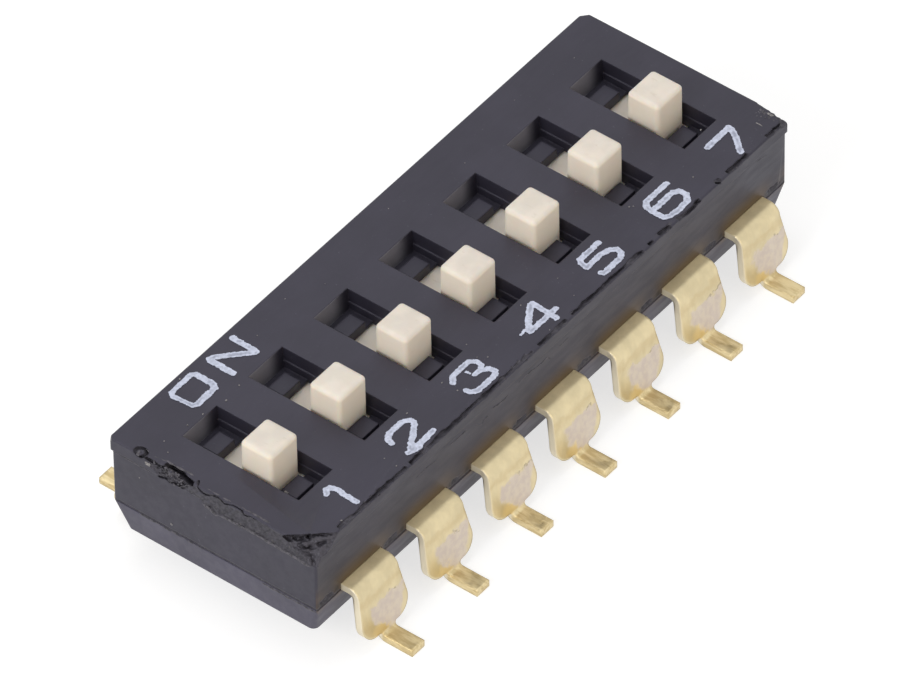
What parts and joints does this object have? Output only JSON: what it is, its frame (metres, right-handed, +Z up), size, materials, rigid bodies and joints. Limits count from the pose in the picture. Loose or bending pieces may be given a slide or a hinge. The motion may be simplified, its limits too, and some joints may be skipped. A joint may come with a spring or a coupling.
{
  "type": "slide-actuated dip switch",
  "caption": "Low black housing for surface mounting, with a row of windows in which cream square knobs slide between two stops, and gull-wing solder leads along both long sides.",
  "frame": {"origin": "in the plane of the solder feet, under the middle of the housing", "axes": "+X along the row of switches, from the first to the last; +Y across the housing, from the numbered side to the ON side; +Z up from the board"},
  "size_m": [0.0188, 0.0096, 0.0046],
  "materials": {
    "housing": "satin black moulded plastic",
    "slider": "satin cream moulded plastic",
    "wiper": "plated spring sheet",
    "lead": "plated sheet, pale gold"
  },
  "bodies": {
    "housing": {"cover": "housing", "base": "housing", "number_side_lead_1": "lead", "number_side_lead_2": "lead", "number_side_lead_3": "lead", "number_side_lead_4": "lead", "number_side_lead_5": "lead", "number_side_lead_6": "lead", "number_side_lead_7": "lead", "on_side_lead_1": "lead", "on_side_lead_2": "lead", "on_side_lead_3": "lead", "on_side_lead_4": "lead", "on_side_lead_5": "lead", "on_side_lead_6": "lead", "on_side_lead_7": "lead"},
    "slider_body_1": {"slider_1": "slider", "wiper_1": "wiper"},
    "slider_body_2": {"slider_2": "slider", "wiper_2": "wiper"},
    "slider_body_3": {"slider_3": "slider", "wiper_3": "wiper"},
    "slider_body_4": {"slider_4": "slider", "wiper_4": "wiper"},
    "slider_body_5": {"slider_5": "slider", "wiper_5": "wiper"},
    "slider_body_6": {"slider_6": "slider", "wiper_6": "wiper"},
    "slider_body_7": {"slider_7": "slider", "wiper_7": "wiper"}
  },
  "joints": [
    {"name": "slide_1", "type": "slide", "parent": "housing", "child": "slider_body_1", "axis": [0, 1, 0], "range_m": [-0.00011, 0.00085]},
    {"name": "slide_2", "type": "slide", "parent": "housing", "child": "slider_body_2", "axis": [0, 1, 0], "range_m": [-0.00002, 0.00094]},
    {"name": "slide_3", "type": "slide", "parent": "housing", "child": "slider_body_3", "axis": [0, 1, 0], "range_m": [0, 0.00096]},
    {"name": "slide_4", "type": "slide", "parent": "housing", "child": "slider_body_4", "axis": [0, 1, 0], "range_m": [-0.00001, 0.00095]},
    {"name": "slide_5", "type": "slide", "parent": "housing", "child": "slider_body_5", "axis": [0, 1, 0], "range_m": [0, 0.00096]},
    {"name": "slide_6", "type": "slide", "parent": "housing", "child": "slider_body_6", "axis": [0, 1, 0], "range_m": [-0.00003, 0.00093]},
    {"name": "slide_7", "type": "slide", "parent": "housing", "child": "slider_body_7", "axis": [0, 1, 0], "range_m": [-0.0001, 0.00086]}
  ]
}
